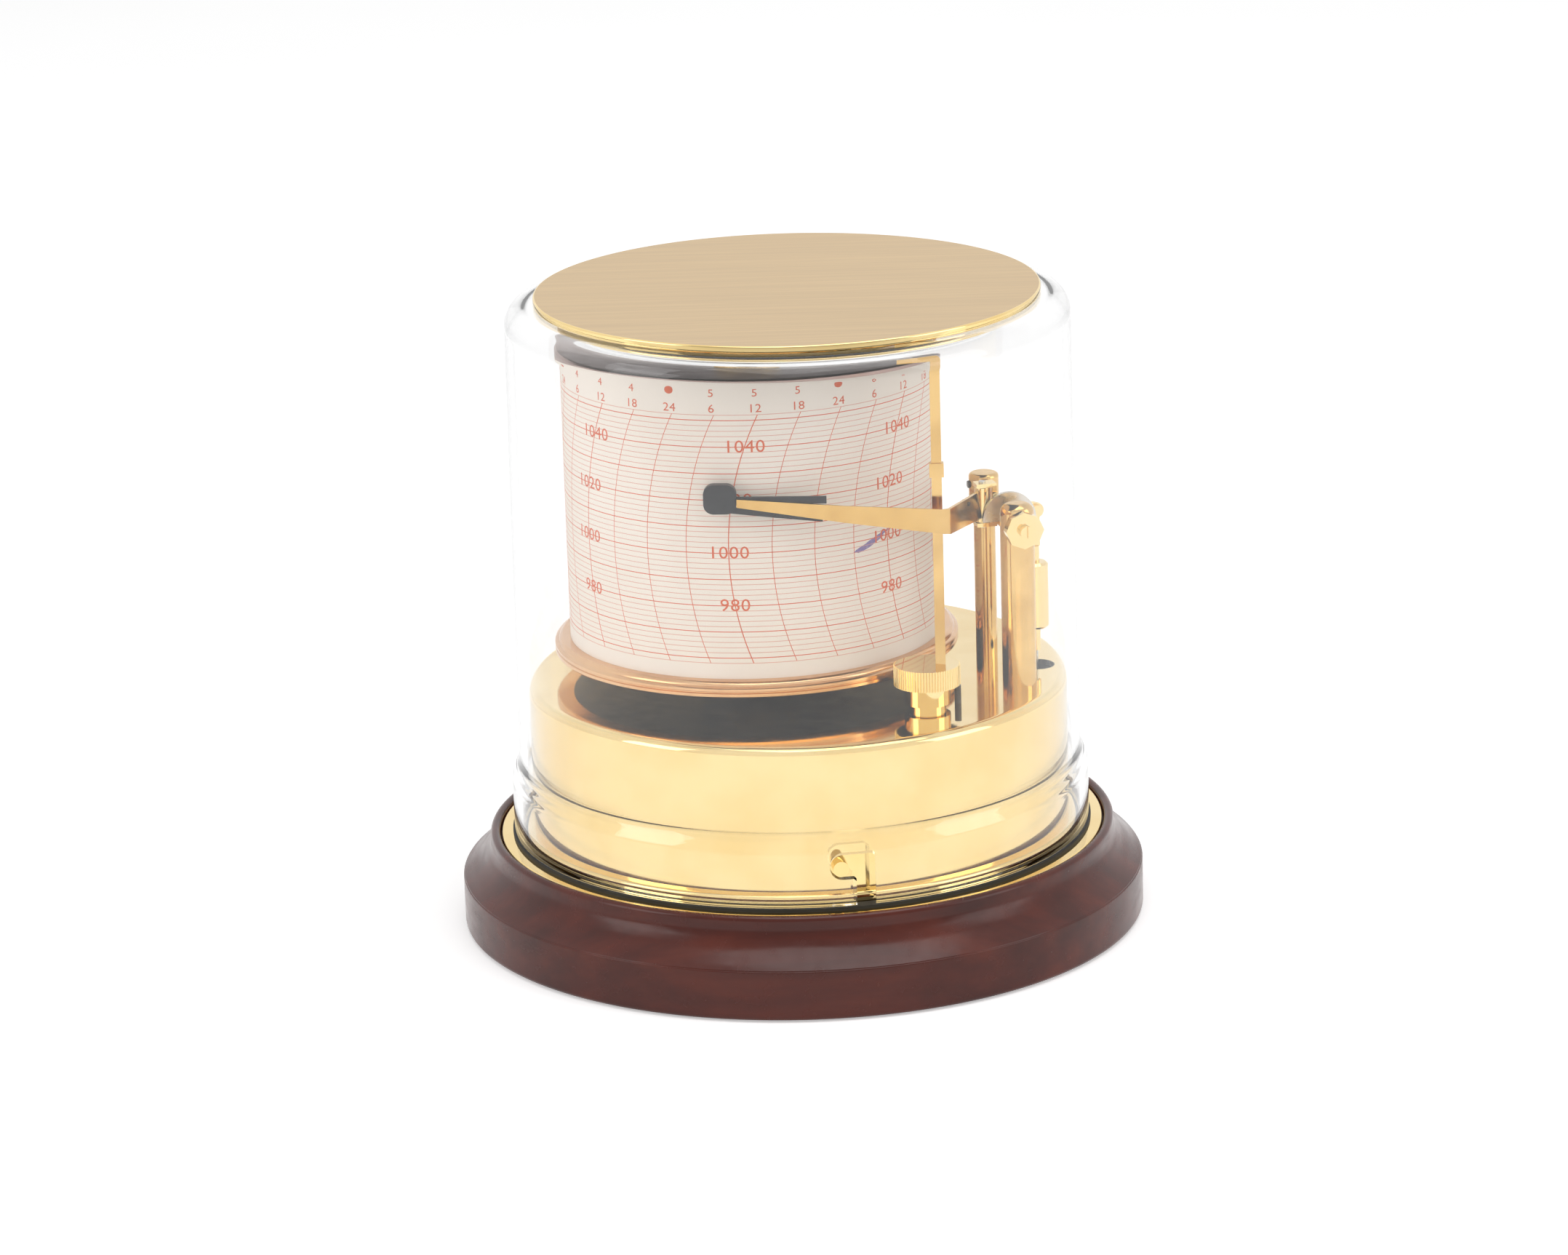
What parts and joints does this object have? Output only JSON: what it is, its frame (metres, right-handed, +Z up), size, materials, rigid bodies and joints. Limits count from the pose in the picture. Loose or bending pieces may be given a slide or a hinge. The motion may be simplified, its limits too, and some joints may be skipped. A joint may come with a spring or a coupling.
{
  "type": "barograph",
  "caption": "Round drum barograph: brass works on a turned wooden base, pen arm on a chart drum, under a clear twist-off cover.",
  "frame": {"origin": "centre of the underside of the base, on the surface it stands on", "axes": "+Z up, -Y towards the side with the pen, +X to the right seen from there"},
  "size_m": [0.17, 0.17, 0.1591],
  "materials": {
    "mahogany": "gloss lacquer",
    "felt": "matte",
    "polished_brass": "polished",
    "satin_brass": "satin",
    "copper_brass": "turned",
    "lid_bronze": "satin",
    "steel": "satin",
    "dark_steel": "blackened",
    "nickel": "satin",
    "capsule_alloy": "satin",
    "clear_acrylic": "clear",
    "seal_rubber": "matte",
    "chart_paper": "paper",
    "black_floor": "satin black",
    "drum_metal": "satin",
    "pen_plastic": "satin",
    "pen_fibre": "fibre",
    "clock_plastic": "moulded",
    "battery_wrap": "printed steel"
  },
  "bodies": {
    "root": {"wooden_base": "mahogany", "base_felt": "felt", "base_screws": "steel", "base_plate": "polished_brass", "housing_can": "polished_brass", "housing_pillars": "polished_brass", "housing_screws": "steel", "bayonet_studs": "polished_brass", "front_post": "polished_brass", "rear_post": "polished_brass", "rear_post_cap": "polished_brass", "rear_grub_screw": "dark_steel", "post_nuts": "polished_brass", "front_pivot_screw": "polished_brass", "front_lock_nut": "polished_brass", "rear_pivot_screw": "polished_brass", "drum_spindle": "steel", "spindle_nut": "steel", "sun_gear": "polished_brass", "drum_nut": "polished_brass", "knob_bush": "polished_brass", "knob_stop_pin": "dark_steel", "capsule_stud": "polished_brass", "lever_bracket": "polished_brass", "aneroid_capsules": "capsule_alloy"},
    "capsule": {"capsule_head": "steel"},
    "lever": {"transfer_lever": "polished_brass", "lever_shaft": "steel"},
    "arm": {"arm_spindle": "steel", "crank_lever": "polished_brass", "counterweight_disc": "nickel", "gate_bracket": "polished_brass", "gate_pin": "steel", "link_pin": "polished_brass"},
    "link": {"link_wire": "steel", "adjuster_sleeve": "polished_brass", "link_strip": "polished_brass"},
    "pen": {"pen_arm": "polished_brass", "gate_barrel": "polished_brass", "gate_screw": "dark_steel", "pen_cartridge": "pen_plastic", "pen_nib": "pen_fibre"},
    "lifter": {"lifter_knob": "polished_brass", "lifter_rod": "polished_brass", "lifter_circlip": "steel"},
    "drum": {"drum_floor": "black_floor", "drum_flange": "copper_brass", "drum_shell": "drum_metal", "drum_lid": "lid_bronze", "chart_paper": "chart_paper", "chart_clip": "polished_brass", "clock_case": "clock_plastic", "battery_holder": "clock_plastic", "battery": "battery_wrap"},
    "pinion": {"clock_pinion": "polished_brass"},
    "gasket": {"cover_gasket": "seal_rubber"},
    "cover": {"cover_shell": "clear_acrylic", "cover_top_disc": "satin_brass"}
  },
  "joints": [
    {"name": "drum_turn", "type": "hinge", "parent": "root", "child": "drum", "pos_m": [-0.01, 0.007, 0.0681], "axis": [0, 0, 1], "continuous": true},
    {"name": "pinion_spin", "type": "hinge", "parent": "drum", "child": "pinion", "pos_m": [0.008, 0.007, 0.0638], "axis": [0, 0, 1], "continuous": true},
    {"name": "arm_swing", "type": "hinge", "parent": "root", "child": "arm", "pos_m": [0.05171, -0.01264, 0.1036], "axis": [-0.2267, 0.974, 0], "range_deg": [-30.8, 14.5]},
    {"name": "link_hang", "type": "hinge", "parent": "arm", "child": "link", "pos_m": [0.05933, -0.00286, 0.1024], "axis": [-0.2267, 0.974, 0], "range_deg": [-14.5, 30.8]},
    {"name": "lever_tilt", "type": "hinge", "parent": "root", "child": "lever", "pos_m": [-0.02, -0.00286, 0.053], "axis": [0, 1, 0], "range_deg": [-3.74, 1.76]},
    {"name": "capsule_breathe", "type": "slide", "parent": "root", "child": "capsule", "axis": [0, 0, 1], "range_m": [-0.00081, 0.00172], "deforming": ["aneroid_capsules"]},
    {"name": "lifter_turn", "type": "hinge", "parent": "root", "child": "lifter", "pos_m": [0.031, -0.0363, 0.0625], "axis": [0, 0, 1], "range_deg": [-40, 0]},
    {"name": "arm_gate", "type": "hinge", "parent": "arm", "child": "pen", "pos_m": [0.04603, -0.01396, 0.1036], "axis": [0, 0, 1], "range_deg": [0, 2.8]},
    {"name": "cover_twist", "type": "hinge", "parent": "root", "child": "gasket", "pos_m": [0, 0, 0.0232], "axis": [0, 0, 1], "range_deg": [-4.69, 0]},
    {"name": "cover_lift", "type": "slide", "parent": "gasket", "child": "cover", "axis": [0, 0, 1], "range_m": [0, 0.16]}
  ],
  "couplings": [
    {"joint": "pinion_spin", "follows": "drum_turn", "ratio": 4},
    {"joint": "link_hang", "follows": "arm_swing", "ratio": -1},
    {"joint": "lever_tilt", "follows": "arm_swing", "ratio": 0.1214},
    {"joint": "capsule_breathe", "follows": "arm_swing", "m_per_rad": -0.0032049},
    {"joint": "arm_gate", "follows": "lifter_turn", "ratio": -0.07}
  ]
}
